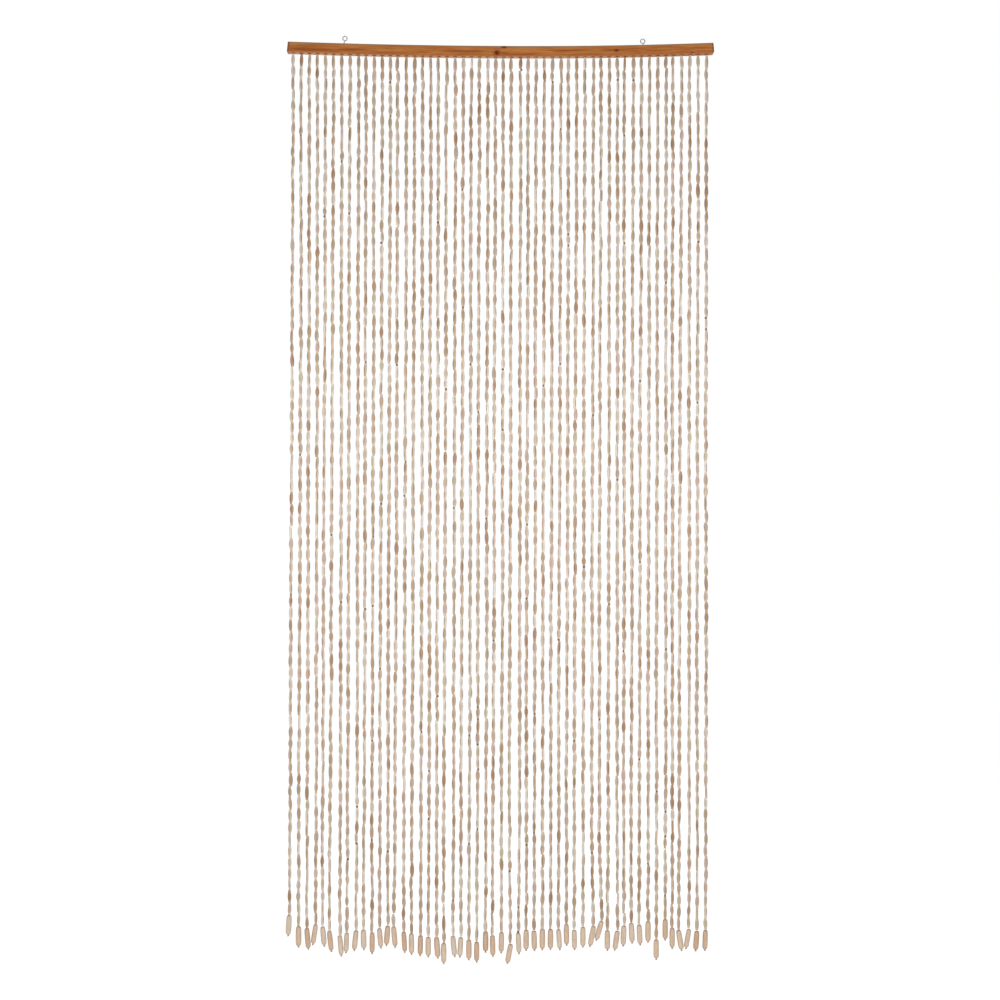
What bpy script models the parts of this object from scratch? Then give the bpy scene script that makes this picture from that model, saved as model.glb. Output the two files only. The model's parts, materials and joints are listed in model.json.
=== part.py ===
# A bead curtain for a doorway. Two screw eyes carry a stained wooden rail. A pale strip is let into
# the rail's underside, and 52 bead strings hang from it, each ending in a long wooden pendant.
# Metres, +Z up, front towards -Y. The origin is the middle of the rail's flat back face.

import math
import random

import bmesh
import bpy
from mathutils import Matrix, Vector

MM = 0.001
GAP = 0.3 * MM  # left between pieces that touch

# Rail: a batten that sags between its ends, most a little right of its middle
RAIL_LENGTH = 922 * MM
RAIL_HEIGHT = 21.5 * MM
RAIL_DEPTH = 24 * MM
RAIL_SAG = 8.4 * MM
RAIL_LOWEST_X = 40 * MM
RAIL_STEPS = 18
RAIL_ARRIS = 0.8 * MM
ARRIS_STEPS = 2
LEFT_END_SLANT = 2.2 * MM
RIGHT_END_SLANT = 1.8 * MM
RIGHT_CORNER = 3.6 * MM
CORNER_STEPS = 4

# Strip that the strings are fixed in, flush with the rail's underside
STRIP_THICK = 1.5 * MM
STRIP_WIDTH = 18.4 * MM
STRIP_END = 6.0 * MM  # beyond the outermost strings
ROOT_INSET = 5.5 * MM  # from a cell's border to the string's root

# Bead strings
STRANDS = 52
FIELD_WIDTH = 893.5 * MM  # from the first string to the last
FIELD_SHIFT = -1.6 * MM  # the strings hang a little left of the rail's middle
HEM_DROP = 1936 * MM  # the usual foot of a string, below the origin
STRAND_Y = -RAIL_DEPTH / 2
STRAND_RINGS = 10
BEAD_WIDTH = 7.0 * MM
BEAD_DEPTH = 5.2 * MM
ROOT_WIDTH = 4.0 * MM
ROOT_LENGTH = 6.0 * MM
SWAY = 0.35 * MM
SWAY_WAVES = (1.3, 0.7)
SWAY_STARTS = 0.3  # below the rail, where the sway has its full size
GATHER = 1.3 * MM  # the lower field is this much narrower on each side
GATHER_SHIFT = 0.5 * MM  # and lies this much to the right
GATHER_STARTS = 1.0  # below the rail, where it is fully gathered
SEED = 52

# Pendant and knot, upwards from the foot of the string
PENDANT_COLUMNS = ("above_foot_mm", "width_mm", "depth_mm")
PENDANT_ROWS = (
    (47.0, 6.4, 5.0),
    (43.0, 3.0, 3.0),
    (42.2, 7.6, 7.0),
    (40.6, 9.6, 9.0),
    (36.0, 10.8, 10.0),
    (10.0, 10.8, 10.0),
    (5.2, 6.4, 6.0),
    (3.8, 2.2, 2.2),
    (2.0, 3.8, 3.6),
    (0.0, 2.4, 2.4),
)
NECK_ROW = 1  # the pendant leans about this point

# The hem's line: how far the strings reach below the usual foot
HEM_COLUMNS = ("strand", "drop_mm")
HEM_ROWS = (
    (0, -4),
    (4, -7),
    (6, 12),
    (8, 2),
    (12, -5),
    (15, 10),
    (18, 18),
    (23, 22),
    (26, 10),
    (29, 1),
    (33, -2),
    (37, -8),
    (44, -17),
    (47, -4),
    (51, 0),
)

# Strings that leave the others' order (+ is to the right): how far the foot is below the hem's line,
# how the pendant leans, how far the string drifts on its way down, how far it swings just above the
# pendant, and how far its hole is off
STRAY_COLUMNS = ("strand", "drop_mm", "lean_deg", "drift_mm", "swing_mm", "hole_mm")
STRAY_ROWS = (
    (0, -25, -3, -2, 0, 0),
    (2, 5, 5, 0.5, 0, 0),
    (3, -4, -8, 2.4, 0, 0),
    (4, 0, 5, -1.5, 1, 0),
    (5, 2, 6.5, -3, 0, 0),
    (6, 2, 5, 2, 0, 0),
    (7, 0, -2, 0, 0, 0),
    (8, 0, -5.5, 0.8, 0, 1.5),
    (9, 0, 1.5, 0.5, 0, 0),
    (10, 10, 0, 0, 1, 0),
    (11, 0, 5, -0.8, 0, 0),
    (12, -4, -4, -1, 1, 0),
    (13, -5, 5, -1.3, -2.3, -1.5),
    (14, 1, 3.5, -1.2, 0, 0),
    (15, 0, 1, -1.8, 0, 0),
    (16, 0, -1, 0.8, 0, 0),
    (18, 0, 4, 1.3, 0, -1.5),
    (19, 11, 0, -1.5, 0, -1),
    (20, -5, 5.5, 0, 0, 0.5),
    (21, -5, -3, -0.7, 0, 0),
    (23, 4, 0, -0.6, 0, 0),
    (24, -13, 0, -0.6, 0, 1),
    (25, 0, 1.5, -2.2, 0, 0),
    (26, -4, -1, 0.7, 0, -1),
    (27, 22, -10, -0.6, 3.5, -1),
    (28, 4, 3, 0.9, -1.3, 1.5),
    (30, 1, 2, 0, 0, 0),
    (33, 1, 4, -1.8, 0.5, 1),
    (34, -7, 1, -1, 0, 0),
    (35, 4, 1.5, -2.4, 0.7, 0),
    (37, 0, -10.5, -1, 4.3, 1.5),
    (38, -12, -16, -1, 6.5, 0),
    (39, 11, 0, -0.3, -0.8, 1.5),
    (40, 12, -8, 2.6, 0, 1),
    (41, 4, -2, 2.4, 0, -2),
    (42, -1, 3, -2.2, 1, 0),
    (43, 4, 3, -2, 0, 0),
    (45, 32, 0, 0.2, 0, 0),
    (46, -14, 0, 1.5, 0, 1),
    (47, 0, 0, 2.3, 0, -2.5),
    (48, 3, 9, -3.2, 0, -1),
    (49, -2, -9.5, 2, 0, -1),
    (50, 2, -4, 0, 0, 0),
    (51, 0, -2, 2, -1, 0),
)
SWING_LENGTH = 120 * MM  # above the pendant's neck, where a string swings aside

# Screw eyes: zinc-plated wire, a ring on a shank that is screwed into the rail
WIRE_RADIUS = 1.0 * MM
RING_RADIUS = 4.7 * MM  # to the middle of the wire
RING_START = math.radians(18)  # past the ring's foot, where the shank's bend meets the ring
RING_STOP = math.radians(346)  # leaves the small gap beside the shank
RING_STEPS = 30
BEND_STEPS = 5
SHANK_BURIED = 12 * MM
PILOT_RADIUS = 1.3 * MM
PILOT_SIDES = 16
WIRE_RESOLUTION = 2
EYE_COLUMNS = ("name", "ring_x_mm", "ring_above_rail_mm", "lean_deg")
EYE_ROWS = (
    ("screw_eye_left", -336.6, 13.4, 10.5),
    ("screw_eye_right", 307.6, 10.5, -4.8),
)


def rows(columns, table):
    return [dict(zip(columns, row)) for row in table]


def between(low, high, share):
    return low + (high - low) * share


def bow(x):
    """How far the rail's middle line at x lies above its lowest point."""
    end = math.copysign(RAIL_LENGTH / 2, x - RAIL_LOWEST_X)
    return RAIL_SAG * ((x - RAIL_LOWEST_X) / (end - RAIL_LOWEST_X)) ** 2


def underside(x):
    return bow(x) - RAIL_HEIGHT / 2


def linear(hex_colour):
    """An sRGB colour such as 'A56636' as Blender's linear values."""
    values = [int(hex_colour[i : i + 2], 16) / 255 for i in (0, 2, 4)]
    return [v / 12.92 if v <= 0.04045 else ((v + 0.055) / 1.055) ** 2.4 for v in values] + [1.0]


def material(name, hex_colour, roughness, metallic=0.0):
    made = bpy.data.materials.new(name)
    made.use_nodes = True
    shader = made.node_tree.nodes["Principled BSDF"]
    shader.inputs["Base Color"].default_value = linear(hex_colour)
    shader.inputs["Roughness"].default_value = roughness
    shader.inputs["Metallic"].default_value = metallic
    return made


def add_object(name, data, look=None, parent=None):
    made = bpy.data.objects.new(name, data)
    bpy.context.scene.collection.objects.link(made)
    if look:
        data.materials.append(look)
    made.parent = parent
    return made


def mesh_from(name, bm):
    bmesh.ops.recalc_face_normals(bm, faces=bm.faces)
    mesh = bpy.data.meshes.new(name)
    bm.to_mesh(mesh)
    bm.free()
    return mesh


def prism(name, outline, y_front, y_back):
    """A front-view outline of (x, z) points, extruded from front to back."""
    bm = bmesh.new()
    face = bm.faces.new([bm.verts.new((x, y_front, z)) for x, z in outline])
    extruded = bmesh.ops.extrude_face_region(bm, geom=[face])["geom"]
    moved = [v for v in extruded if isinstance(v, bmesh.types.BMVert)]
    bmesh.ops.translate(bm, verts=moved, vec=(0, y_back - y_front, 0))
    return mesh_from(name, bm)


def bowed_line(x_start, x_end, height):
    """Points from x_start to x_end that run along the rail's bow, at a height from its middle line."""
    stations = [between(x_start, x_end, i / RAIL_STEPS) for i in range(RAIL_STEPS + 1)]
    return [(x, bow(x) + height) for x in stations]


def rail_outline():
    left, right = -RAIL_LENGTH / 2, RAIL_LENGTH / 2
    corner_x = right - RIGHT_CORNER
    corner_z = underside(right) + RIGHT_CORNER
    lower = bowed_line(left, corner_x, -RAIL_HEIGHT / 2)
    turns = [math.pi / 2 * i / CORNER_STEPS for i in range(1, CORNER_STEPS + 1)]
    corner = [(corner_x + RIGHT_CORNER * math.sin(t), corner_z - RIGHT_CORNER * math.cos(t)) for t in turns]
    upper = bowed_line(right - RIGHT_END_SLANT, left + LEFT_END_SLANT, RAIL_HEIGHT / 2)
    return lower + corner + upper


def cut(target, name, mesh, matrix=Matrix()):
    cutter = add_object(name, mesh)
    cutter.matrix_world = matrix
    cutter.hide_render = True
    cutter.display_type = "WIRE"
    boolean = target.modifiers.new(name, "BOOLEAN")
    boolean.operation = "DIFFERENCE"
    boolean.solver = "EXACT"
    boolean.object = cutter


def groove_mesh():
    """The groove for the strip, a gap wider than the strip all round, open below the rail."""
    left, right = strip_ends()
    height = STRIP_THICK + GAP - RAIL_HEIGHT / 2
    outline = bowed_line(left - GAP, right + GAP, height)
    outline += bowed_line(right + GAP, left - GAP, -RAIL_HEIGHT)
    half = STRIP_WIDTH / 2 + GAP
    return prism("strip_groove", outline, STRAND_Y - half, STRAND_Y + half)


def pilot_mesh():
    """An eye's pilot hole, standing under the ring's centre along the shank."""
    bm = bmesh.new()
    bmesh.ops.create_cone(
        bm, cap_ends=True, segments=PILOT_SIDES, radius1=PILOT_RADIUS, radius2=PILOT_RADIUS, depth=1
    )
    return mesh_from("pilot_hole", bm)


def make_rail(look, parent):
    rail = add_object("rail", prism("rail", rail_outline(), -RAIL_DEPTH, 0), look, parent)
    arris = rail.modifiers.new("arris", "BEVEL")
    arris.width = RAIL_ARRIS
    arris.segments = ARRIS_STEPS
    arris.limit_method = "ANGLE"
    arris.angle_limit = math.radians(40)
    cut(rail, "strip_groove", groove_mesh())
    for eye in rows(EYE_COLUMNS, EYE_ROWS):
        reach = eye["ring_above_rail_mm"] * MM
        depth = reach + SHANK_BURIED + GAP
        along = Matrix.Translation((0, 0, -depth / 2)) @ Matrix.Diagonal((1, 1, depth, 1))
        cut(rail, "pilot_" + eye["name"], pilot_mesh(), eye_matrix(eye) @ along)
    return rail


def eye_matrix(eye):
    """Puts a ring's centre, and its lean in the front view, where the photographed eye has them."""
    x = eye["ring_x_mm"] * MM
    top = bow(x) + RAIL_HEIGHT / 2
    place = Matrix.Translation((x, STRAND_Y, top + eye["ring_above_rail_mm"] * MM))
    return place @ Matrix.Rotation(math.radians(eye["lean_deg"]), 4, "Y")


def eye_path(shank_foot):
    """The wire's middle line, with the ring's centre at the origin: shank, bend, then ring."""
    bend_radius = RING_RADIUS * math.sin(RING_START) / (1 - math.sin(RING_START))
    bend_foot = -(RING_RADIUS + bend_radius) * math.cos(RING_START)
    bend_turn = math.pi / 2 - RING_START
    points = [(0, -shank_foot), (0, bend_foot)]
    for i in range(1, BEND_STEPS + 1):
        turn = bend_turn * i / BEND_STEPS
        points.append((bend_radius * (1 - math.cos(turn)), bend_foot + bend_radius * math.sin(turn)))
    for i in range(1, RING_STEPS + 1):
        angle = between(RING_START, RING_STOP, i / RING_STEPS)
        points.append((RING_RADIUS * math.sin(angle), -RING_RADIUS * math.cos(angle)))
    return points


def make_eye(eye, look, parent):
    wire = bpy.data.curves.new(eye["name"], "CURVE")
    wire.dimensions = "3D"
    wire.bevel_depth = WIRE_RADIUS
    wire.bevel_resolution = WIRE_RESOLUTION
    wire.use_fill_caps = True
    points = eye_path(eye["ring_above_rail_mm"] * MM + SHANK_BURIED)
    spline = wire.splines.new("POLY")
    spline.points.add(len(points) - 1)
    for point, (x, z) in zip(spline.points, points):
        point.co = (x, 0, z, 1)
    made = add_object(eye["name"], wire, look, parent)
    made.matrix_local = eye_matrix(eye)
    return made


def strand_x(strand):
    """Where a string's hole would be if all were evenly spaced."""
    return FIELD_SHIFT + between(-FIELD_WIDTH / 2, FIELD_WIDTH / 2, strand / (STRANDS - 1))


def strip_ends():
    return strand_x(0) - STRIP_END, strand_x(STRANDS - 1) + STRIP_END


def hem_drop(strand):
    """The hem table, read between its rows."""
    table = rows(HEM_COLUMNS, HEM_ROWS)
    for low, high in zip(table, table[1:]):
        if low["strand"] <= strand <= high["strand"]:
            share = (strand - low["strand"]) / (high["strand"] - low["strand"])
            return between(low["drop_mm"], high["drop_mm"], share) * MM


def stray(strand):
    """A string's row of the table, or zeros."""
    for row in rows(STRAY_COLUMNS, STRAY_ROWS):
        if row["strand"] == strand:
            return row
    return dict.fromkeys(STRAY_COLUMNS, 0)


def hole_x(strand):
    return strand_x(strand) + stray(strand)["hole_mm"] * MM


def sway(drop, phases):
    """A string's slight sideways wander at a distance below the rail."""
    waves = sum(math.sin(math.tau * drop / wave + phase) for wave, phase in zip(SWAY_WAVES, phases))
    return SWAY * waves * min(1, drop / SWAY_STARTS)


def gather(x, drop):
    """How far the field's gathering moves a string sideways at a distance below the rail."""
    return (GATHER_SHIFT - GATHER * 2 * x / FIELD_WIDTH) * min(1, drop / GATHER_STARTS)


def strand_sections(strand, phases):
    """A string's sections from under its root to its foot: centre, width, depth and lean."""
    own = stray(strand)
    lean = math.radians(own["lean_deg"])
    root_x = hole_x(strand)
    root_z = underside(root_x)
    foot_z = -HEM_DROP - hem_drop(strand) - own["drop_mm"] * MM
    pendant = rows(PENDANT_COLUMNS, PENDANT_ROWS)
    neck_rise = pendant[NECK_ROW]["above_foot_mm"] * MM
    neck_z = foot_z + neck_rise * math.cos(lean)

    def middle(z):
        drop = root_z - z
        drift = own["drift_mm"] * MM * drop / (root_z - neck_z)
        swing = own["swing_mm"] * MM * max(0, 1 - (z - neck_z) / SWING_LENGTH)
        return Vector((root_x + drift + swing + gather(root_x, drop) + sway(drop, phases), STRAND_Y, z))

    start_z = root_z - ROOT_LENGTH
    end_z = neck_z + (pendant[0]["above_foot_mm"] * MM - neck_rise)
    sections = []
    for ring in range(STRAND_RINGS):
        z = between(start_z, end_z, ring / STRAND_RINGS)
        sections.append((middle(z), BEAD_WIDTH, BEAD_DEPTH, 0.0))
    neck = middle(neck_z)
    for row in pendant:
        below = neck_rise - row["above_foot_mm"] * MM
        if below < 0:
            centre = middle(neck_z - below)
        else:
            centre = neck + Vector((math.sin(lean), 0, -math.cos(lean))) * below
        turn = lean if below > 0 else 0.0
        sections.append((centre, row["width_mm"] * MM, row["depth_mm"] * MM, turn))
    return sections


def set_section(face, centre, width, depth, lean):
    """Moves a four-cornered face to a section square to a string that leans in the front view."""
    old = face.calc_center_median()
    across = Vector((math.cos(lean), 0, math.sin(lean))) * width / 2
    inwards = Vector((0, depth / 2, 0))
    for vert in face.verts:
        side = 1 if vert.co.x > old.x else -1
        rear = 1 if vert.co.y > old.y else -1
        vert.co = centre + across * side + inwards * rear


def make_strands(look, parent):
    left, right = strip_ends()
    borders = [left] + [(strand_x(i) + strand_x(i + 1)) / 2 for i in range(STRANDS - 1)] + [right]
    bm = bmesh.new()
    bmesh.ops.create_grid(bm, x_segments=STRANDS, y_segments=1, size=1)
    for vert in bm.verts:
        x = borders[round((vert.co.x + 1) / 2 * STRANDS)]
        vert.co = (x, STRAND_Y + vert.co.y * STRIP_WIDTH / 2, underside(x))
    cells = list(bm.faces)
    extruded = bmesh.ops.extrude_face_region(bm, geom=cells)["geom"]
    top = [v for v in extruded if isinstance(v, bmesh.types.BMVert)]
    bmesh.ops.translate(bm, verts=top, vec=(0, 0, STRIP_THICK))
    bmesh.ops.inset_individual(bm, faces=cells, thickness=ROOT_INSET, use_even_offset=True)
    for strand, face in enumerate(sorted(cells, key=lambda f: f.calc_center_median().x)):
        x = hole_x(strand)
        set_section(face, Vector((x, STRAND_Y, underside(x))), ROOT_WIDTH, ROOT_WIDTH, 0.0)
    wander = random.Random(SEED)
    strands = [
        strand_sections(i, [wander.uniform(0, math.tau) for wave in SWAY_WAVES]) for i in range(STRANDS)
    ]
    tips = cells
    for ring in range(len(strands[0])):
        tips = bmesh.ops.extrude_discrete_faces(bm, faces=tips)["faces"]
        tips.sort(key=lambda f: f.calc_center_median().x)
        for face, sections in zip(tips, strands):
            set_section(face, *sections[ring])
    return add_object("bead_strands", mesh_from("bead_strands", bm), look, parent)


def main():
    for old in list(bpy.data.objects):
        bpy.data.objects.remove(old, do_unlink=True)
    curtain = add_object("bead_curtain", None)
    stained_pine = material("stained_pine", "A56636", 0.45)
    zinc_steel = material("zinc_plated_steel", "B4B6B8", 0.35, 1.0)
    bead_wood = material("pale_bead_wood", "CDB49B", 0.7)
    make_rail(stained_pine, curtain)
    for eye in rows(EYE_COLUMNS, EYE_ROWS):
        make_eye(eye, zinc_steel, curtain)
    make_strands(bead_wood, curtain)


main()
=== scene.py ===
import json
import math
import random

import bmesh
import bpy
from mathutils import Matrix, Vector


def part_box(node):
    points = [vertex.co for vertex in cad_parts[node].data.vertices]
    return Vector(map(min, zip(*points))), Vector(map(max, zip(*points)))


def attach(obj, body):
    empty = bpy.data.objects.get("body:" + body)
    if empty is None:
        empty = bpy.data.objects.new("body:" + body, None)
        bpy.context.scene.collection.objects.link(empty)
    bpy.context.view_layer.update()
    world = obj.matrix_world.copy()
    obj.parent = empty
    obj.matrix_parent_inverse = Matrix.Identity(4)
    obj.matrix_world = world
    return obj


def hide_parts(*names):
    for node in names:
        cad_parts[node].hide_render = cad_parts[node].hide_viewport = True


# A wooden bead curtain: strings of small carved beads with long pendants, under a stained rail.
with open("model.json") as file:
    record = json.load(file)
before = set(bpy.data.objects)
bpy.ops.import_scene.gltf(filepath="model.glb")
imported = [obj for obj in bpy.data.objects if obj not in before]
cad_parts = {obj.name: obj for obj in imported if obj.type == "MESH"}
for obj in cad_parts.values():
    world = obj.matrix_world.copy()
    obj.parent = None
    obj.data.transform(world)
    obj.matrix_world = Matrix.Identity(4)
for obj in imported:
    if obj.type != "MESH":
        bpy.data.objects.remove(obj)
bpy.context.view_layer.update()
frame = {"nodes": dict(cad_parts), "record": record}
mm = 0.001
print("frame loaded:", sorted(frame["nodes"]))


# small helpers

def toLinear(hexColour):
    # an sRGB colour such as "A56636" as linear values
    values = [int(hexColour[i : i + 2], 16) / 255 for i in (0, 2, 4)]
    return [v / 12.92 if v <= 0.04045 else ((v + 0.055) / 1.055) ** 2.4 for v in values] + [1.0]


def addNode(tree, kind, inputs=None, stops=None, **settings):
    # adds a shader node: inputs are sockets to link or values to set, stops are a ramp's colours
    made = tree.nodes.new("ShaderNode" + kind)
    for name, value in settings.items():
        setattr(made, name, value)
    for socket, value in (inputs or {}).items():
        if isinstance(value, bpy.types.NodeSocket):
            tree.links.new(value, made.inputs[socket])
        else:
            made.inputs[socket].default_value = value
    if stops:
        elements = made.color_ramp.elements
        while len(elements) < len(stops):
            elements.new(1.0)
        for element, (position, colour) in zip(elements, stops):
            element.position = position
            element.color = toLinear(colour)
    return made


def newMaterial(name, roughness, metallic=0.0, ior=1.5):
    made = bpy.data.materials.new(name)
    made.use_nodes = True
    shader = made.node_tree.nodes["Principled BSDF"]
    shader.inputs["Roughness"].default_value = roughness
    shader.inputs["Metallic"].default_value = metallic
    shader.inputs["IOR"].default_value = ior
    return made, made.node_tree, shader


def toMesh(name, bm):
    mesh = bpy.data.meshes.new(name)
    bm.to_mesh(mesh)
    bm.free()
    return mesh


def addPiece(name, mesh, material, slotName, *replaced):
    # a finished piece: its place is in its mesh, and it hangs with the rest of the curtain
    piece = bpy.data.objects.new(name, mesh)
    bpy.context.scene.collection.objects.link(piece)
    mesh.materials.clear()
    mesh.materials.append(material)
    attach(piece, "root")
    if replaced:
        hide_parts(*replaced)
    print("made", name, len(mesh.polygons), "faces")
    return piece


def between(low, high, share):
    return low + (high - low) * share


# camera, lights and floor

cameraPlan = {
    "distance": 4.0,  # metres in front of the strings
    "widthSeen": 2.155,  # metres across the picture at the strings
    "height": -1.02865,
    "side": 0.0016,
    "lookUp": 0.86,  # degrees
    "roll": 0.16,
}
lightPlan = {
    "backdrop": 1.0,  # what the camera sees behind the curtain
    "room": 0.435,  # how bright the same white room is as a light
    "power": 13,  # watts each
    "size": 0.65,  # metres
    "places": ((-0.77, -1.45, -0.8), (0.77, -1.45, -0.8)),
    "floorDrop": 0.22,  # under the longest string
    "floorSize": 16.0,
    "floorGlow": 0.59,  # lit a little from inside, so that it is as white as the backdrop
    "floorMottle": [(0.3, "FAFAF9"), (0.7, "FDFDFC")],
}
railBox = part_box("rail")
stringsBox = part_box("bead_strands")
stringY = (stringsBox[0].y + stringsBox[1].y) / 2


def makeCamera():
    data = bpy.data.cameras.new("photo_camera")
    data.sensor_width = 36.0
    data.lens = data.sensor_width * cameraPlan["distance"] / cameraPlan["widthSeen"]
    camera = bpy.data.objects.new("photo_camera", data)
    bpy.context.scene.collection.objects.link(camera)
    place = Vector((cameraPlan["side"], stringY - cameraPlan["distance"], cameraPlan["height"]))
    tilt = Matrix.Rotation(math.radians(90 + cameraPlan["lookUp"]), 4, "X")
    roll = Matrix.Rotation(math.radians(cameraPlan["roll"]), 4, "Z")
    camera.matrix_world = Matrix.Translation(place) @ tilt @ roll
    bpy.context.scene.camera = camera


def makeSoftbox(name, place):
    light = bpy.data.lights.new(name, "AREA")
    light.energy = lightPlan["power"]
    light.size = lightPlan["size"]
    made = bpy.data.objects.new(name, light)
    bpy.context.scene.collection.objects.link(made)
    middle = (stringsBox[0] + stringsBox[1]) / 2
    made.location = place
    made.rotation_euler = (middle - Vector(place)).to_track_quat("-Z", "Y").to_euler()


def makeRoom():
    # a white room: plain white where the camera looks, and a softer white as light
    world = bpy.data.worlds.new("white_room")
    bpy.context.scene.world = world
    world.use_nodes = True
    tree = world.node_tree
    soft = tree.nodes["Background"]
    soft.inputs["Color"].default_value = (1, 1, 1, 1)
    soft.inputs["Strength"].default_value = lightPlan["room"]
    seen = addNode(tree, "Background", {"Color": (1, 1, 1, 1), "Strength": lightPlan["backdrop"]})
    ray = addNode(tree, "LightPath").outputs["Is Camera Ray"]
    room = addNode(tree, "MixShader", {0: ray, 1: soft.outputs[0], 2: seen.outputs[0]})
    tree.links.new(room.outputs[0], tree.nodes["World Output"].inputs["Surface"])
    bpy.context.scene.view_settings.view_transform = "Standard"


def makeFloor():
    bm = bmesh.new()
    bmesh.ops.create_grid(bm, x_segments=1, y_segments=1, size=lightPlan["floorSize"] / 2)
    bmesh.ops.translate(bm, verts=bm.verts, vec=(0, 0, stringsBox[0].z - lightPlan["floorDrop"]))
    floor = bpy.data.objects.new("studio_floor", toMesh("studio_floor", bm))
    bpy.context.scene.collection.objects.link(floor)
    paint, tree, shader = newMaterial("white_painted_floor", 0.9)
    # painted board: almost white, with a faint roller mottle
    place = addNode(tree, "TexCoord").outputs["Object"]
    mottle = addNode(tree, "TexNoise", {"Vector": place, "Scale": 6.0, "Detail": 2.0})
    colour = addNode(tree, "ValToRGB", {"Fac": mottle.outputs["Fac"]}, lightPlan["floorMottle"])
    tree.links.new(colour.outputs["Color"], shader.inputs["Base Color"])
    shader.inputs["Emission Color"].default_value = (1, 1, 1, 1)
    shader.inputs["Emission Strength"].default_value = lightPlan["floorGlow"]
    floor.data.materials.append(paint)


makeCamera()
makeRoom()
makeFloor()
for number, place in enumerate(lightPlan["places"]):
    makeSoftbox(f"softbox_{number + 1}", place)
print("studio ready")


# the strings' middle lines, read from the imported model's plain strands

strandPlan = {
    "sides": 4,
    "weld": 0.02 * mm,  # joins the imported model's loose triangles
    "stripRim": 0.5 * mm,  # what lies this near the strip's long edges is the strip
}


def readStrings():
    solid = bmesh.new()
    solid.from_mesh(frame["nodes"]["bead_strands"].data)
    bmesh.ops.remove_doubles(solid, verts=solid.verts, dist=strandPlan["weld"])
    halfStrip = (stringsBox[1].y - stringsBox[0].y) / 2 - strandPlan["stripRim"]
    stripVerts = [v for v in solid.verts if abs(v.co.y - stringY) > halfStrip]
    bmesh.ops.delete(solid, geom=stripVerts, context="VERTS")
    solid.verts.index_update()
    waiting = set(solid.verts)
    strings = []
    while waiting:
        found = [waiting.pop()]
        for vert in found:
            near = {edge.other_vert(vert) for edge in vert.link_edges} & waiting
            waiting -= near
            found.extend(near)
        found.sort(key=lambda v: -v.co.z)
        ring = set(found[: strandPlan["sides"]])
        passed = set()
        line = []
        while ring:
            inOrder = sorted(ring, key=lambda v: v.index)  # so that each run adds them up alike
            line.append(sum((v.co for v in inOrder), Vector()) / len(ring))
            passed |= ring
            ring = {edge.other_vert(v) for v in ring for edge in v.link_edges} - passed
        strings.append(line)
    solid.free()
    strings.sort(key=lambda line: line[0].x)
    return strings


ringsBelowNeck = 8  # of each plain strand, from the pendant's neck to the foot of the knot
strings = readStrings()
print("read", len(strings), "strings of", len(strings[0]), "sections")


def pointAt(line, z):
    # the point of a string's middle line at height z
    for upper, lower in zip(line, line[1:]):
        if lower.z <= z:
            break
    return upper.lerp(lower, (upper.z - z) / (upper.z - lower.z))


# wood for the beads and pendants

beadTones = {
    "ramp": [
        (0.0, "74604A"),
        (0.03, "A68A6F"),
        (0.12, "B0987F"),
        (0.22, "B5A48D"),
        (0.32, "B4A595"),
        (0.42, "C2AC99"),
        (0.5, "BDB2A6"),
        (0.58, "C8B4AC"),
        (0.66, "C2BCA8"),
        (0.76, "D0C5BB"),
        (0.86, "D0CAC0"),
        (1.0, "D3CEC9"),
    ],
    # down the bead: its broad faces drawn browner on the belly, and a little at the ends
    "darkening": [(0.06, "EFE9E5"), (0.26, "D8CABD"), (0.74, "D8CABD"), (0.94, "EFE9E5")],
    "grainWidth": 0.9 * mm,
    "grainLength": 16 * mm,
    "grain": [(0.28, "B8A894"), (0.45, "F2ECE4"), (0.7, "FFFFFF")],
    "grainShare": 0.75,
    "grainShift": 3.1,  # metres from one tone's grain to another's
    "roughness": (0.6, 0.46),  # in the dark grain and in the light
    "grainDepth": 0.2 * mm,
}


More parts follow.
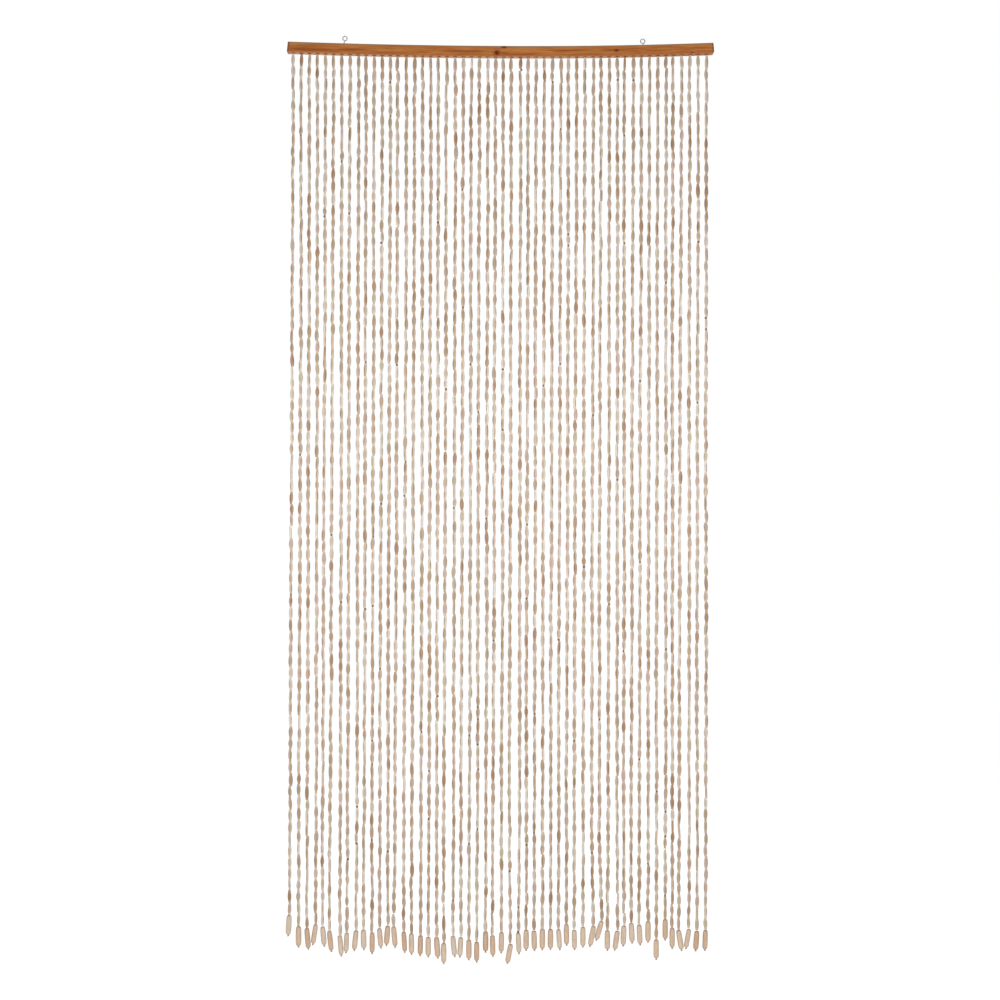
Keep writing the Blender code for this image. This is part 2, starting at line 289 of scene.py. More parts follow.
def makeBeadWood(name, ramp, darkening, darkeningOn):
    # Carved from raw pale hardwood and tumbled, so dull but smooth, with fine grain along the bead.
    # Each bead comes from another stick: its "tone" attribute picks the colour and the grain.
    # The last argument is how much of the darkening down the piece shows, or the attribute that says where
    # it does.
    wood, tree, shader = newMaterial(name, 0.53)
    place = addNode(tree, "TexCoord").outputs["Object"]
    tone = addNode(tree, "Attribute", attribute_name="tone").outputs["Fac"]
    along = addNode(tree, "Attribute", attribute_name="along").outputs["Fac"]
    shift = addNode(tree, "CombineXYZ", {"X": tone, "Y": tone})
    moved = addNode(
        tree, "VectorMath", {0: shift.outputs[0], "Scale": beadTones["grainShift"]}, operation="SCALE"
    )
    apart = addNode(tree, "VectorMath", {0: place, 1: moved.outputs[0]}, operation="ADD")
    across, length = 1 / beadTones["grainWidth"], 1 / beadTones["grainLength"]
    stretched = addNode(tree, "Mapping", {"Vector": apart.outputs[0], "Scale": (across, across, length)})
    grain = addNode(tree, "TexNoise", {"Vector": stretched.outputs[0], "Scale": 1.0, "Detail": 3.0})
    colour = addNode(tree, "ValToRGB", {"Fac": tone}, ramp)
    streaks = addNode(tree, "ValToRGB", {"Fac": grain.outputs["Fac"]}, beadTones["grain"])
    grained = addNode(
        tree,
        "Mix",
        {0: beadTones["grainShare"], 6: colour.outputs["Color"], 7: streaks.outputs["Color"]},
        data_type="RGBA",
        blend_type="MULTIPLY",
    )
    # darkening down the piece, multiplied in: on the beads their broad faces, most on the belly; on the
    # pendants painted shade at both ends
    if isinstance(darkeningOn, str):
        darkeningOn = addNode(tree, "Attribute", attribute_name=darkeningOn).outputs["Fac"]
    darkeningRamp = addNode(tree, "ValToRGB", {"Fac": along}, darkening)
    shaded = addNode(
        tree,
        "Mix",
        {0: darkeningOn, 6: grained.outputs[2], 7: darkeningRamp.outputs["Color"]},
        data_type="RGBA",
        blend_type="MULTIPLY",
    )
    tree.links.new(shaded.outputs[2], shader.inputs["Base Color"])
    dull, smooth = beadTones["roughness"]
    rough = addNode(tree, "MapRange", {"Value": grain.outputs["Fac"], "To Min": dull, "To Max": smooth})
    tree.links.new(rough.outputs[0], shader.inputs["Roughness"])
    bump = addNode(
        tree, "Bump", {"Height": grain.outputs["Fac"], "Strength": 0.35, "Distance": beadTones["grainDepth"]}
    )
    tree.links.new(bump.outputs[0], shader.inputs["Normal"])
    return wood


# beads

beadPlan = {
    "pitch": 25.4 * mm,
    "spread": 0.08,  # of the beads' lengths
    "firstGap": 1.5 * mm,  # under the rail
    "firstShare": 1.12,  # the first bead is longer, with its belly low
    "lastGap": 2.6 * mm,  # above the neck, where the pendant's string comes out
    "width": 8.6 * mm,
    "depth": 5.1 * mm,
    "sides": 8,
    "rows": (0, 0.13, 0.25, 0.4, 0.6, 0.75, 0.87, 1),
    "turn": 0.4,  # radians that a bead turns from the one above, which it half follows
    "follow": 0.45,
    "free": 0.24,  # how many beads hang turned any way
    "bits": 0.024,  # how many beads have a short dark one under them
    "bitLength": 4.6 * mm,
    "bitWidth": 5.4 * mm,
    "bare": 0.004,  # how many have bare twine under them
    "bareLength": 3.4 * mm,
    "widthSpread": 0.045,  # of the width
    "toneSpread": 0.27,  # round the middle of the tones
    "aside": 0.5 * mm,  # how far a bead hangs off its string's middle line
    "groups": 4,
    "seed": 11,
}
# where the belly is along the bead, how wide the ends and the belly are, how far the oval belly
# reaches each way as a share of the length, and how often the shape turns up
beadShapes = {
    "oval": (0.5, 0.6, 1.0, 0.4, 34),
    "highBelly": (0.43, 0.6, 0.99, 0.39, 18),
    "lowBelly": (0.57, 0.6, 0.99, 0.39, 18),
    "shortOval": (0.5, 0.59, 1.01, 0.32, 16),
    "barrel": (0.5, 0.61, 0.98, 0.47, 8),
    "slim": (0.5, 0.6, 0.82, 0.4, 5),
}


def beadRows(belly, ends, full, reach, often):
    rows = []
    for share in beadPlan["rows"]:
        height = share * 2 * belly if share < 0.5 else 1 - (1 - share) * 2 * (1 - belly)
        off = min(1, abs(share - 0.5) / reach)
        swell = (1 - off * off) ** 0.8
        rows.append((height, between(ends, full, swell), between(0.94, 1, swell)))
    return rows


def turnedMesh(name, sides, rows):
    # a closed solid along -Z from rows of height, width and depth, its caps kept crisp
    bm = bmesh.new()
    bmesh.ops.create_circle(bm, cap_ends=True, segments=sides, radius=0.5)
    cap = bm.faces[:][0]
    high, width, depth = rows[0]
    first = Matrix.Translation((0, 0, -high)) @ Matrix.Diagonal((width, depth, 1, 1))
    bmesh.ops.transform(bm, matrix=first, verts=cap.verts)
    for row in rows[1:]:
        cap = bmesh.ops.extrude_discrete_faces(bm, faces=[cap])["faces"][0]
        grow = Matrix.Diagonal((row[1] / width, row[2] / depth, 1, 1))
        bmesh.ops.transform(bm, matrix=Matrix.Translation((0, 0, high - row[0])) @ grow, verts=cap.verts)
        high, width, depth = row
    bmesh.ops.recalc_face_normals(bm, faces=bm.faces)
    for face in bm.faces:
        face.smooth = True
    for edge in bm.edges:
        if any(len(face.verts) == sides for face in edge.link_faces):
            edge.smooth = False
    return toMesh(name, bm)


def addCopy(bm, source, matrix, tone):
    # adds a placed copy of a mesh whose length is 1 along -Z, with its tone, its place along the bead
    # and how squarely it faces front or back, where the flat beads are broadest
    toneLayer = bm.verts.layers.float["tone"]
    alongLayer = bm.verts.layers.float["along"]
    broadLayer = bm.verts.layers.float["broad"]
    start = len(bm.verts)
    bm.from_mesh(source)
    bm.verts.ensure_lookup_table()
    fresh = bm.verts[start:]
    for vert in fresh:
        vert[toneLayer] = tone
        vert[alongLayer] = -vert.co.z
        vert[broadLayer] = min(1, 4 * vert.co.y**2)
    bmesh.ops.transform(bm, matrix=matrix, verts=fresh)


def newBeadMesh():
    bm = bmesh.new()
    bm.verts.layers.float.new("tone")
    bm.verts.layers.float.new("along")
    bm.verts.layers.float.new("broad")
    return bm


def placeBead(bm, shape, line, top, length, chance, width, depth, turn, tone):
    # hangs a bead by its top end on a string, a little off its middle
    middle = pointAt(line, top - length / 2)
    middle.x += chance.gauss(0, beadPlan["aside"])
    middle.y += chance.gauss(0, 0.8 * beadPlan["aside"])
    lean = Matrix.Rotation(chance.gauss(0, 0.025), 4, "Y")
    size = Matrix.Diagonal((width, depth, length, 1))
    place = Matrix.Translation(middle) @ lean @ Matrix.Rotation(turn, 4, "Z")
    addCopy(bm, shape, place @ size @ Matrix.Translation((0, 0, 0.5)), tone)


def threadBeads(line, count, shapes, chance):
    # one string's beads, from under the rail to its pendant
    start = line[0].z - beadPlan["firstGap"]
    stop = line[-1 - ringsBelowNeck].z + beadPlan["lastGap"]
    shares = [max(0.75, chance.gauss(1, beadPlan["spread"])) for number in range(count)]
    shares[0] *= beadPlan["firstShare"]
    scale = (start - stop) / sum(shares)
    names = list(shapes)
    weights = [beadShapes[name][-1] for name in names]
    bm = newBeadMesh()
    top = start
    turn = chance.gauss(0, beadPlan["turn"])
    for share in shares:
        length = share * scale
        turn = turn * beadPlan["follow"] + chance.gauss(0, beadPlan["turn"])
        if chance.random() < beadPlan["free"]:
            turn = chance.uniform(-math.pi / 2, math.pi / 2)
        spare = 0
        chanceFind = chance.random()
        if chanceFind < beadPlan["bits"]:
            spare = beadPlan["bitLength"]
            bitTop = top - length + spare
            width = beadPlan["bitWidth"] * chance.uniform(0.8, 1.1)
            placeBead(bm, shapes["barrel"], line, bitTop, spare, chance, width, width * 0.9, turn, 0.0)
        elif chanceFind < beadPlan["bits"] + beadPlan["bare"]:
            spare = beadPlan["bareLength"]
        width = beadPlan["width"] * min(1.15, max(0.85, chance.gauss(1, beadPlan["widthSpread"])))
        depth = beadPlan["depth"] * chance.uniform(0.92, 1.1)
        tone = min(1.0, max(0.04, chance.gauss(0.5, beadPlan["toneSpread"])))
        kind = chance.choices(names, weights)[0] if top < start else "lowBelly"
        placeBead(bm, shapes[kind], line, top, length - spare, chance, width, depth, turn, tone)
        top -= length
    return toMesh("string", bm)


def makeBeads():
    wood = makeBeadWood("tumbled_raw_hardwood", beadTones["ramp"], beadTones["darkening"], "broad")
    shapes = {}
    for name, values in beadShapes.items():
        shapes[name] = turnedMesh(name, beadPlan["sides"], beadRows(*values))
    chance = random.Random(beadPlan["seed"])
    perGroup = math.ceil(len(strings) / beadPlan["groups"])
    usual = sum(line[0].z - line[-1 - ringsBelowNeck].z for line in strings) / len(strings)
    count = round(usual / beadPlan["pitch"])
    for group in range(beadPlan["groups"]):
        bm = newBeadMesh()
        for line in strings[group * perGroup : (group + 1) * perGroup]:
            threaded = threadBeads(line, count, shapes, chance)
            bm.from_mesh(threaded)
            bpy.data.meshes.remove(threaded)
        addPiece(f"beads_{group + 1}", toMesh(f"beads_{group + 1}", bm), wood, "pale_bead_wood")
    for shape in shapes.values():
        bpy.data.meshes.remove(shape)
    print(count, "beads on each string")


makeBeads()
print("beads threaded")


# pendants

pendantPlan = {
    "length": 41.2 * mm,
    "footGap": 3.8 * mm,  # from the pendant's foot to the end of the string
    "width": 12.0 * mm,
    "sides": 12,
    "seed": 5,
    "ramp": [(0.0, "B99A80"), (0.12, "BCA089"), (0.35, "C0A892"), (0.7, "C4B09C"), (1.0, "C3B5A5")],
    "darkening": [(0.0, "F0E8E0"), (0.08, "FFFFFF"), (0.88, "FFFFFF"), (1.0, "E0D6CC")],  # painted shade at both ends, darker at the foot
    # share of the length, of the width and of the depth, from the top down
    "outline": (
        (0, 0.42, 0.42),
        (0.008, 0.62, 0.61),
        (0.03, 0.77, 0.76),
        (0.08, 0.88, 0.86),
        (0.2, 0.96, 0.93),
        (0.4, 1, 0.96),
        (0.75, 1, 0.96),
        (0.88, 0.95, 0.93),
        (0.94, 0.84, 0.83),
        (0.98, 0.66, 0.66),
        (1, 0.42, 0.42),
    ),
}


def makePendants():
    # the pendants take the whole darkening down the piece: painted shade at both ends
    wood = makeBeadWood("turned_raw_hardwood", pendantPlan["ramp"], pendantPlan["darkening"], 1.0)
    shape = turnedMesh("pendant", pendantPlan["sides"], pendantPlan["outline"])
    chance = random.Random(pendantPlan["seed"])
    bm = newBeadMesh()
    for line in strings:
        neck, foot = line[-1 - ringsBelowNeck], line[-1]
        lean = (foot - neck).to_track_quat("-Z", "Y").to_matrix().to_4x4()
        length = pendantPlan["length"] * chance.uniform(0.95, 1.03)
        width = pendantPlan["width"] * chance.uniform(0.95, 1.04)
        top = foot + (neck - foot).normalized() * (pendantPlan["footGap"] + length)
        turn = Matrix.Rotation(chance.uniform(0, math.tau), 4, "Z")
        size = Matrix.Diagonal((width, width, length, 1))
        addCopy(bm, shape, Matrix.Translation(top) @ lean @ turn @ size, chance.random())
    addPiece("pendants", toMesh("pendants", bm), wood, "pale_bead_wood")
    bpy.data.meshes.remove(shape)


makePendants()
print("pendants hung")


# rail

railPlan = {
    "left": railBox[0].x,
    "right": railBox[1].x,
    "lowest": 40 * mm,  # where the batten sags most
    "sag": 8.4 * mm,
    "height": 21.5 * mm,
    "leftSlant": 2.2 * mm,  # how much farther in the top of the end is
    "rightSlant": 1.8 * mm,
    "grainLength": 150 * mm,
    "grainHeight": 1.5 * mm,
    "ramp": [(0.25, "904C1E"), (0.42, "9F622E"), (0.55, "A86F38"), (0.75, "B6824E")],
    # along the rail, above its middle line, half length and half height
    "streaks": (
        (-410 * mm, -5.0 * mm, 78 * mm, 5.0 * mm),
        (-320 * mm, -3.0 * mm, 46 * mm, 3.0 * mm),
        (-78 * mm, -1.5 * mm, 52 * mm, 3.2 * mm),
        (7 * mm, -4.4 * mm, 12 * mm, 2.2 * mm),
        (150 * mm, 1.0 * mm, 58 * mm, 2.0 * mm),
        (245 * mm, 0.5 * mm, 44 * mm, 3.0 * mm),
        (345 * mm, -2.0 * mm, 40 * mm, 1.8 * mm),
    ),
    "knots": (
        (-8.0 * mm, -4.2 * mm, 6.6 * mm, 5.6 * mm),
        (7.5 * mm, 8.2 * mm, 6.2 * mm, 3.0 * mm),
        (250.0 * mm, -0.4 * mm, 5.0 * mm, 3.0 * mm),
        (413.0 * mm, -9.2 * mm, 3.0 * mm, 1.3 * mm),
    ),
    "grain": [(0.3, "C49C78"), (0.5, "F4E8DC"), (0.75, "FFFFFF")],
    # stains: from where to where, how strong at each, and the colour
    "lowerEdge": (-3 * mm, -10.75 * mm, 0, 0.4, "8A4618"),
    "heartwood": (0.9, 1.6, 0.75, 0, "7E380C"),  # in the streak's own half sizes
    "greyTop": (6.55 * mm, 9.55 * mm, 0, 0.8, "84664A"),
    "knotRing": (1.0, 2.4, 0.55, 0, "80300E"),
    "knotCore": (0.9, 1.6, 0.97, 0, "541C00"),
    "endLine": (1.8 * mm, 4.4 * mm, 0.85, 0, "5C4230"),
    "endGrain": (0.5, 0.9, 0, 0.8, "5A3018"),  # by how squarely a face looks along the rail
}


def bow(x):
    # how far the rail's middle line at x lies above its lowest point
    end = railPlan["left"] if x < railPlan["lowest"] else railPlan["right"]
    return railPlan["sag"] * ((x - railPlan["lowest"]) / (end - railPlan["lowest"])) ** 2


def flattenBow(tree):
    # object coordinates with the rail's bow taken out, so that the grain follows the batten
    place = addNode(tree, "TexCoord").outputs["Object"]
    parts = addNode(tree, "SeparateXYZ", {0: place}).outputs
    away = addNode(tree, "Math", {0: parts["X"], 1: railPlan["lowest"]}, operation="SUBTRACT").outputs[0]
    square = addNode(tree, "Math", {0: away, 1: away}, operation="MULTIPLY").outputs[0]
    onRight = addNode(tree, "Math", {0: away, 1: 0.0}, operation="GREATER_THAN").outputs[0]
    ends = (railPlan["left"], railPlan["right"])
    steepLeft, steepRight = [bow(end) / (end - railPlan["lowest"]) ** 2 for end in ends]
    steep = addNode(tree, "MapRange", {"Value": onRight, "To Min": steepLeft, "To Max": steepRight})
    rise = addNode(tree, "Math", {0: square, 1: steep.outputs[0]}, operation="MULTIPLY").outputs[0]
    level = addNode(tree, "Math", {0: parts["Z"], 1: rise}, operation="SUBTRACT").outputs[0]
    joined = addNode(tree, "CombineXYZ", {"X": parts["X"], "Y": parts["Y"], "Z": level})
    return joined.outputs[0], level, parts


def spotReach(tree, parts, level, spot, ragged):
    # how far a point is from a spot on the rail's face, in the spot's own half sizes, roughened
    x, z, halfLength, halfHeight = spot
    flat = addNode(tree, "CombineXYZ", {"X": parts["X"], "Z": level}).outputs[0]
    scale = (1 / halfLength, 1, 1 / halfHeight)
    place = (-x / halfLength, 0, -z / halfHeight)
    around = addNode(tree, "Mapping", {"Vector": flat, "Scale": scale, "Location": place}).outputs[0]
    reach = addNode(tree, "VectorMath", {0: around}, operation="LENGTH").outputs["Value"]
    return addNode(tree, "Math", {0: reach, 1: ragged}, operation="ADD").outputs[0]


def stainZone(tree, colour, value, zone):
    # mixes a stain into a colour, stronger or weaker as the value goes from the zone's start to its stop
    start, stop, first, last, hexColour = zone
    limits = {"Value": value, "From Min": start, "From Max": stop, "To Min": first, "To Max": last}
    share = addNode(tree, "MapRange", limits).outputs[0]
    mixed = addNode(tree, "Mix", {0: share, 6: colour, 7: toLinear(hexColour)}, data_type="RGBA")
    return mixed.outputs[2]


def endGap(tree, parts, level):
    # how far a point of the rail's face is from the nearer of its slanted ends
    half = railPlan["height"] / 2
    up = addNode(tree, "MapRange", {"Value": level, "From Min": -half, "From Max": half}).outputs[0]
    sides = ((parts["X"], railPlan["left"], "leftSlant"), (railPlan["right"], parts["X"], "rightSlant"))
    gaps = []
    for inner, outer, slant in sides:
        lean = addNode(tree, "Math", {0: up, 1: railPlan[slant]}, operation="MULTIPLY").outputs[0]
        inwards = addNode(tree, "Math", {0: inner, 1: outer}, operation="SUBTRACT").outputs[0]
        gaps.append(addNode(tree, "Math", {0: inwards, 1: lean}, operation="SUBTRACT").outputs[0])
    return addNode(tree, "Math", {0: gaps[0], 1: gaps[1]}, operation="MINIMUM").outputs[0]


def makeStainedPine():
    # Planed pine wiped with an orange-brown stain: the soft grain takes more of it and reads darker,
    # with knots, redder streaks, a greyer, darker top arris, dark ends and a satin rubbed surface.
    pine, tree, shader = newMaterial("planed_stained_pine", 0.42, ior=1.45)
    shader.inputs["Specular IOR Level"].default_value = 0.24
    flat, level, parts = flattenBow(tree)
    along, high = 1 / railPlan["grainLength"], 1 / railPlan["grainHeight"]
    fineScale, broadScale = (along * 4, high, high), (along * 1.6, high / 4, high / 4)
    fine = addNode(tree, "Mapping", {"Vector": flat, "Scale": fineScale}).outputs[0]
    broad = addNode(tree, "Mapping", {"Vector": flat, "Scale": broadScale}).outputs[0]
    fineGrain = addNode(tree, "TexNoise", {"Vector": fine, "Scale": 1.0, "Detail": 4.0, "Roughness": 0.6})
    fineGrain = fineGrain.outputs["Fac"]
    broadGrain = addNode(tree, "TexNoise", {"Vector": broad, "Scale": 1.0, "Detail": 3.0}).outputs["Fac"]
    base = addNode(tree, "ValToRGB", {"Fac": broadGrain}, railPlan["ramp"])
    lines = addNode(tree, "ValToRGB", {"Fac": fineGrain}, railPlan["grain"])
    grained = addNode(
        tree,
        "Mix",
        {0: 0.8, 6: base.outputs["Color"], 7: lines.outputs["Color"]},
        data_type="RGBA",
        blend_type="MULTIPLY",
    )
    # the stain gathers along the lower edge of the face
    colour = stainZone(tree, grained.outputs[2], level, railPlan["lowerEdge"])
    # heartwood streaks take up more of it
    for streak in railPlan["streaks"]:
        reach = spotReach(tree, parts, level, streak, fineGrain)
        colour = stainZone(tree, colour, reach, railPlan["heartwood"])
    # the top and its arris drawn greyer and darker
    colour = stainZone(tree, colour, level, railPlan["greyTop"])
    # dark knots, each in a reddish ring
    ragged = addNode(tree, "TexNoise", {"Vector": flat, "Scale": 420.0, "Detail": 1.0}).outputs["Fac"]
    for knot in railPlan["knots"]:
        reach = spotReach(tree, parts, level, knot, ragged)
        colour = stainZone(tree, colour, reach, railPlan["knotRing"])
        colour = stainZone(tree, colour, reach, railPlan["knotCore"])
    # end grain drinks the stain, and its edge shows as a dark line
    colour = stainZone(tree, colour, endGap(tree, parts, level), railPlan["endLine"])
    normal = addNode(tree, "NewGeometry").outputs["Normal"]
    facing = addNode(tree, "SeparateXYZ", {0: normal}).outputs["X"]
    sideways = addNode(tree, "Math", {0: facing}, operation="ABSOLUTE").outputs[0]
    colour = stainZone(tree, colour, sideways, railPlan["endGrain"])
    tree.links.new(colour, shader.inputs["Base Color"])
    bump = addNode(tree, "Bump", {"Height": fineGrain, "Strength": 0.3, "Distance": 0.15 * mm})
    tree.links.new(bump.outputs[0], shader.inputs["Normal"])
    return pine


def makeRail():
    rail = frame["nodes"]["rail"]
    rail.data.materials.clear()
    rail.data.materials.append(makeStainedPine())


makeRail()
print("rail stained")


# twine and knots

twinePlan = {
    "radius": 0.65 * mm,
    "knotRadius": 0.85 * mm,
    "knotReach": 0.58 * mm,  # scale of the knot's loops
    "knotSteps": 22,
    "knotUp": 0.035,  # of the way from the foot to the pendant's neck
    "tail": 3.0 * mm,
    "clean": ("A08C76", "C6B5A0"),
    "handled": ("958A81", "BDB2A8"),
    # up from the rail's underside, as the rail's stains
    "stained": (-15.75 * mm, -12.75 * mm, 0, 1, "864C16"),
    "seed": 3,
}


def makeTwine(name, dark, light):
    # waxed cotton twine: a pale matt cord of fine fibres, brown with stain where it leaves the rail.
    # The fibres are drawn about 1 mm wide, far coarser than real ones, so that they show.
    twine, tree, shader = newMaterial(name, 0.85)
    place = addNode(tree, "TexCoord").outputs["Object"]
    fibres = addNode(tree, "Mapping", {"Vector": place, "Scale": (900, 900, 1800)})
    lay = addNode(tree, "TexNoise", {"Vector": fibres.outputs[0], "Scale": 1.0, "Detail": 2.0})
    colour = addNode(tree, "ValToRGB", {"Fac": lay.outputs["Fac"]}, [(0.3, dark), (0.7, light)])
    level = flattenBow(tree)[1]
    stained = stainZone(tree, colour.outputs["Color"], level, twinePlan["stained"])
    tree.links.new(stained, shader.inputs["Base Color"])
    bump = addNode(tree, "Bump", {"Height": lay.outputs["Fac"], "Strength": 0.5, "Distance": 0.2 * mm})
    tree.links.new(bump.outputs[0], shader.inputs["Normal"])
    return twine


def addTube(curve, points, radius, cyclic=False):
    spline = curve.splines.new("POLY")
    spline.points.add(len(points) - 1)
    for point, co in zip(spline.points, points):
        point.co = (*co, 1)
        point.radius = radius
    spline.use_cyclic_u = cyclic
    spline.use_smooth = True


def tubeMesh(name, curve):
    # the tubes of a curve as a mesh
    holder = bpy.data.objects.new(name, curve)
    bpy.context.scene.collection.objects.link(holder)
    mesh = bpy.data.meshes.new_from_object(holder.evaluated_get(bpy.context.evaluated_depsgraph_get()))
    bpy.data.objects.remove(holder)
    bpy.data.curves.remove(curve)
    mesh.name = name
    return mesh


def newTubes(name, resolution):
    curve = bpy.data.curves.new(name, "CURVE")
    curve.dimensions = "3D"
    curve.bevel_depth = 1.0
    curve.bevel_resolution = resolution
    curve.use_fill_caps = True
    return curve


def knotPoints(centre, chance):
    # an overhand knot drawn tight: a small trefoil, turned at random
    turn = Matrix.Rotation(chance.uniform(0, math.tau), 3, "Z")
    turn = turn @ Matrix.Rotation(chance.uniform(-0.4, 0.4), 3, "X")
    points = []
    for i in range(twinePlan["knotSteps"]):
        t = math.tau * i / twinePlan["knotSteps"]
        x = math.sin(t) + 2 * math.sin(2 * t)
        y = math.cos(t) - 2 * math.cos(2 * t)
        loop = Vector((x, y, -1.6 * math.sin(3 * t)))
        points.append(centre + turn @ (loop * twinePlan["knotReach"]))
    return points


def makeStrings():
    chance = random.Random(twinePlan["seed"])
    threads = newTubes("twine", 1)
    knots = newTubes("knots", 1)
    for line in strings:
        neck, foot = line[-1 - ringsBelowNeck], line[-1]
        knotAt = foot.lerp(neck, twinePlan["knotUp"])
        down = (foot - neck).normalized()
        aside = Vector((chance.uniform(-0.5, 0.5), chance.uniform(-0.5, 0.5), 0))
        tail = knotAt + (down + aside).normalized() * twinePlan["tail"] * chance.uniform(0.75, 1.0)
        path = [line[0] + Vector((0, 0, 1 * mm))] + line[1 : -ringsBelowNeck] + [knotAt, tail]
        addTube(threads, path, twinePlan["radius"])
        addTube(knots, knotPoints(knotAt, chance), twinePlan["knotRadius"], cyclic=True)
    clean = makeTwine("waxed_cotton_twine", *twinePlan["clean"])
    handled = makeTwine("handled_cotton_twine", *twinePlan["handled"])
    addPiece("twine", tubeMesh("twine", threads), clean, "pale_bead_wood")
    addPiece("knots", tubeMesh("knots", knots), handled, "pale_bead_wood")


makeStrings()
print("strings tied")


# the strip in the rail's underside, with a hole for every string

stripPlan = {
    "thick": 1.5 * mm,
    "holeRadius": 1.4 * mm,
    "holeSides": 14,
    "steps": 26,
    "ramp": [(0.3, "9F7356"), (0.5, "B88864"), (0.75, "C89A74")],
    # stains, as the rail's; the darkening round each hole is stain and painted shade
    "bleed": (stringsBox[0].y, stringY, 0.8, 0, "8A5630"),  # ran round the rail's front edge
    "toRight": (180 * mm, 400 * mm, 0, 0.7, "8A5632"),  # as much as the rail, towards the right end
    "hole": (3.2 * mm, 5.8 * mm, 0.97, 0, "70380C"),
    "ragged": 1.6 * mm,  # how far the edge of a hole's dark halo wanders
}


def makeRawPine():
    # sawn pine, never stained: pale and matt, darkened round every hole with stain and painted shade,
    # with grain lines 1.4 mm apart and about 33 mm long
    pine, tree, shader = newMaterial("sawn_raw_pine", 0.75)
    shader.inputs["Specular IOR Level"].default_value = 0.15
    flat, level, parts = flattenBow(tree)
    grainMap = addNode(tree, "Mapping", {"Vector": flat, "Scale": (30, 700, 700)})
    grain = addNode(tree, "TexNoise", {"Vector": grainMap.outputs[0], "Scale": 1.0, "Detail": 3.0})
    base = addNode(tree, "ValToRGB", {"Fac": grain.outputs["Fac"]}, stripPlan["ramp"])
    colour = stainZone(tree, base.outputs["Color"], parts["Y"], stripPlan["bleed"])
    colour = stainZone(tree, colour, parts["X"], stripPlan["toRight"])
    # distance to the nearest hole along the rail
    first, pitch = strings[0][0].x, (strings[-1][0].x - strings[0][0].x) / (len(strings) - 1)
    steps = addNode(tree, "Math", {0: parts["X"], 1: first - pitch / 2}, operation="SUBTRACT")
    wrapped = addNode(tree, "Math", {0: steps.outputs[0], 1: pitch}, operation="FLOORED_MODULO")
    offset = addNode(tree, "Math", {0: wrapped.outputs[0], 1: pitch / 2}, operation="SUBTRACT")
    inwards = addNode(tree, "Math", {0: parts["Y"], 1: stringY}, operation="SUBTRACT")
    away = addNode(tree, "CombineXYZ", {"X": offset.outputs[0], "Y": inwards.outputs[0]})
    reach = addNode(tree, "VectorMath", {0: away.outputs[0]}, operation="LENGTH")
    mottle = addNode(tree, "TexNoise", {"Vector": flat, "Scale": 300.0, "Detail": 2.0})
    spread = {"To Min": -stripPlan["ragged"], "To Max": stripPlan["ragged"]}
    ragged = addNode(tree, "MapRange", {"Value": mottle.outputs["Fac"], **spread})
    halo = addNode(tree, "Math", {0: reach.outputs["Value"], 1: ragged.outputs[0]}, operation="ADD")
    # darker round every hole: stain and painted shade
    colour = stainZone(tree, colour, halo.outputs[0], stripPlan["hole"])
    tree.links.new(colour, shader.inputs["Base Color"])
    bump = addNode(tree, "Bump", {"Height": grain.outputs["Fac"], "Strength": 0.4, "Distance": 0.2 * mm})
    tree.links.new(bump.outputs[0], shader.inputs["Normal"])
    return pine


def makeStrip():
    left, right = stringsBox[0].x, stringsBox[1].x
    bm = bmesh.new()
    bmesh.ops.create_grid(bm, x_segments=stripPlan["steps"], y_segments=1, size=0.5)
    bmesh.ops.transform(
        bm,
        matrix=Matrix.Translation(((left + right) / 2, stringY, 0))
        @ Matrix.Diagonal((right - left, stringsBox[1].y - stringsBox[0].y, 1, 1)),
        verts=bm.verts,
    )
    for vert in bm.verts:
        vert.co.z = bow(vert.co.x) - railPlan["height"] / 2
    top = bmesh.ops.extrude_face_region(bm, geom=bm.faces[:])["geom"]
    topVerts = [v for v in top if isinstance(v, bmesh.types.BMVert)]
    bmesh.ops.translate(bm, verts=topVerts, vec=(0, 0, stripPlan["thick"]))
    bmesh.ops.recalc_face_normals(bm, faces=bm.faces)
    mesh = toMesh("drilled_strip", bm)
    strip = addPiece("drilled_strip", mesh, makeRawPine(), "pale_bead_wood", "bead_strands")
    holes = bmesh.new()
    for line in strings:
        bmesh.ops.create_cone(
            holes,
            cap_ends=True,
            segments=stripPlan["holeSides"],
            radius1=stripPlan["holeRadius"],
            radius2=stripPlan["holeRadius"],
            depth=stripPlan["thick"] * 1.5,
            matrix=Matrix.Translation(line[0]),
        )
    cutter = bpy.data.objects.new("holes", toMesh("holes", holes))
    bpy.context.scene.collection.objects.link(cutter)
    drill = strip.modifiers.new("drill", "BOOLEAN")
    drill.solver = "EXACT"
    drill.object = cutter
    drilled = bpy.data.meshes.new_from_object(strip.evaluated_get(bpy.context.evaluated_depsgraph_get()))
    strip.modifiers.clear()
    strip.data = drilled
    bpy.data.objects.remove(cutter)


makeStrip()
print("strip drilled")


# screw eyes

eyePlan = {
    "wire": 1.0 * mm,
    "ring": 4.7 * mm,
    "start": 18.0,  # degrees past the ring's foot, where the shank's bend meets the ring
    "stop": 346.0,
    "ringSteps": 64,
    "bendSteps": 12,
    "buried": 12 * mm,
    "threadPitch": 1.1 * mm,
    "threadDepth": 0.22 * mm,
    "threadShows": 2.6 * mm,  # of thread above the rail
    "leans": {"eye_left": 10.5, "eye_right": -4.8},
}


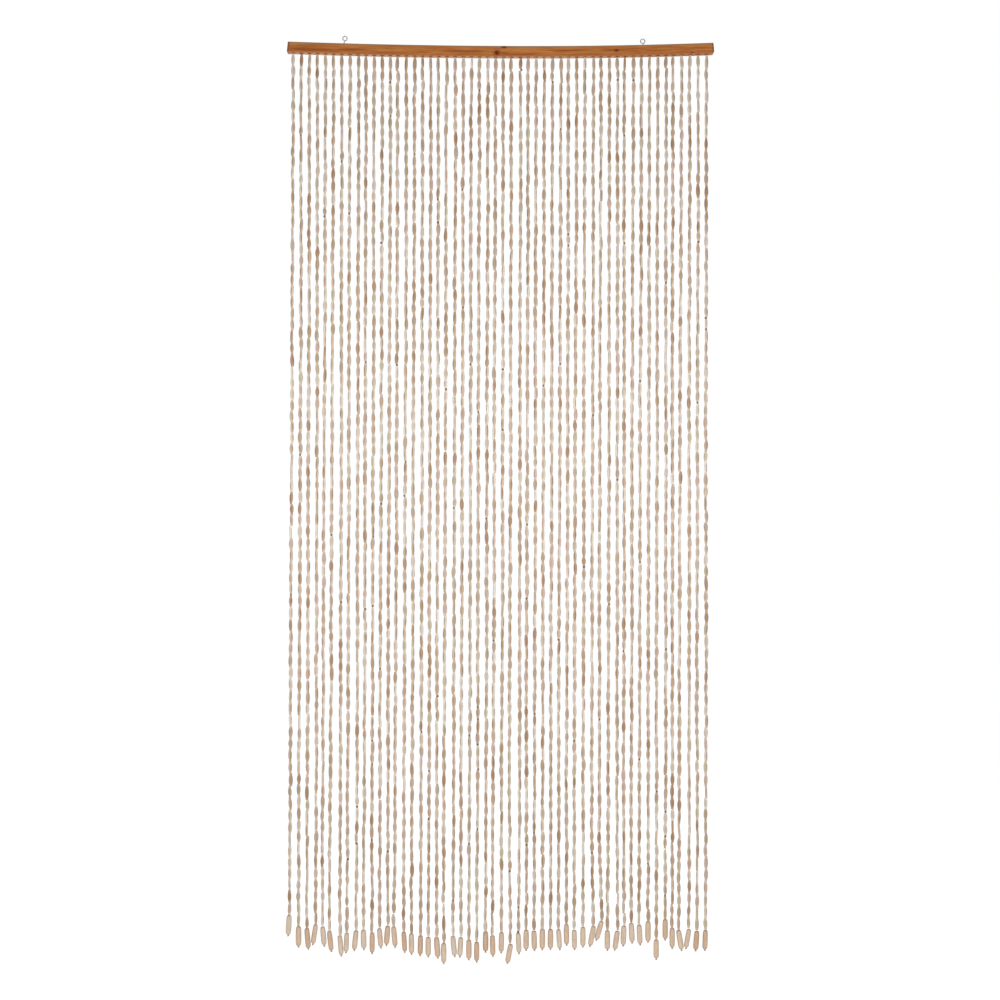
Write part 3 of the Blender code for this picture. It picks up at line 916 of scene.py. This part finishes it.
def makeZincSteel():
    # zinc plating on drawn steel wire: a pale neutral grey metal, dulled, with blotches about 2 mm wide
    zinc, tree, shader = newMaterial("zinc_plated_steel_wire", 0.34, metallic=1.0)
    place = addNode(tree, "TexCoord").outputs["Object"]
    blotch = addNode(tree, "TexNoise", {"Vector": place, "Scale": 500.0, "Detail": 3.0})
    colour = addNode(tree, "ValToRGB", {"Fac": blotch.outputs["Fac"]}, [(0.3, "8B8B8A"), (0.7, "B8B8B6")])
    tree.links.new(colour.outputs["Color"], shader.inputs["Base Color"])
    rough = addNode(tree, "MapRange", {"Value": blotch.outputs["Fac"], "To Min": 0.26, "To Max": 0.46})
    tree.links.new(rough.outputs[0], shader.inputs["Roughness"])
    return zinc


def eyePath(shankFoot):
    # the wire's middle line with the ring's centre at the origin, and each point's radius
    start, stop = math.radians(eyePlan["start"]), math.radians(eyePlan["stop"])
    ring, wire = eyePlan["ring"], eyePlan["wire"]
    bend = ring * math.sin(start) / (1 - math.sin(start))
    bendFoot = -(ring + bend) * math.cos(start)
    threadTop = -shankFoot + eyePlan["buried"] + eyePlan["threadShows"]
    points = []
    z = -shankFoot
    while z < min(threadTop, bendFoot):
        ridge = 0.5 + 0.5 * math.cos(math.tau * z / eyePlan["threadPitch"])
        points.append((0, z, wire - eyePlan["threadDepth"] * ridge))
        z += eyePlan["threadPitch"] / 6
    points.append((0, bendFoot, wire))
    for i in range(1, eyePlan["bendSteps"] + 1):
        turn = (math.pi / 2 - start) * i / eyePlan["bendSteps"]
        points.append((bend * (1 - math.cos(turn)), bendFoot + bend * math.sin(turn), wire))
    for i in range(1, eyePlan["ringSteps"] + 1):
        angle = between(start, stop, i / eyePlan["ringSteps"])
        points.append((ring * math.sin(angle), -ring * math.cos(angle), wire))
    return points


def makeEyes():
    zinc = makeZincSteel()
    for mount in frame["record"]["mounts"]:
        if mount["name"] not in eyePlan["leans"]:
            continue
        centre = Vector(mount["pos_m"])
        lean = Matrix.Rotation(math.radians(eyePlan["leans"][mount["name"]]), 3, "Y")
        railTop = bow(centre.x) + railPlan["height"] / 2
        curve = newTubes(mount["name"], 3)
        path = eyePath(centre.z - railTop + eyePlan["buried"])
        spline = curve.splines.new("POLY")
        spline.points.add(len(path) - 1)
        spline.use_smooth = True
        for point, (x, z, radius) in zip(spline.points, path):
            point.co = (*(centre + lean @ Vector((x, 0, z))), 1)
            point.radius = radius
        node = "screw_" + mount["name"]
        addPiece(mount["name"] + "_wire", tubeMesh(node, curve), zinc, "zinc_plated_steel", node)


makeEyes()
print("screw eyes fitted")
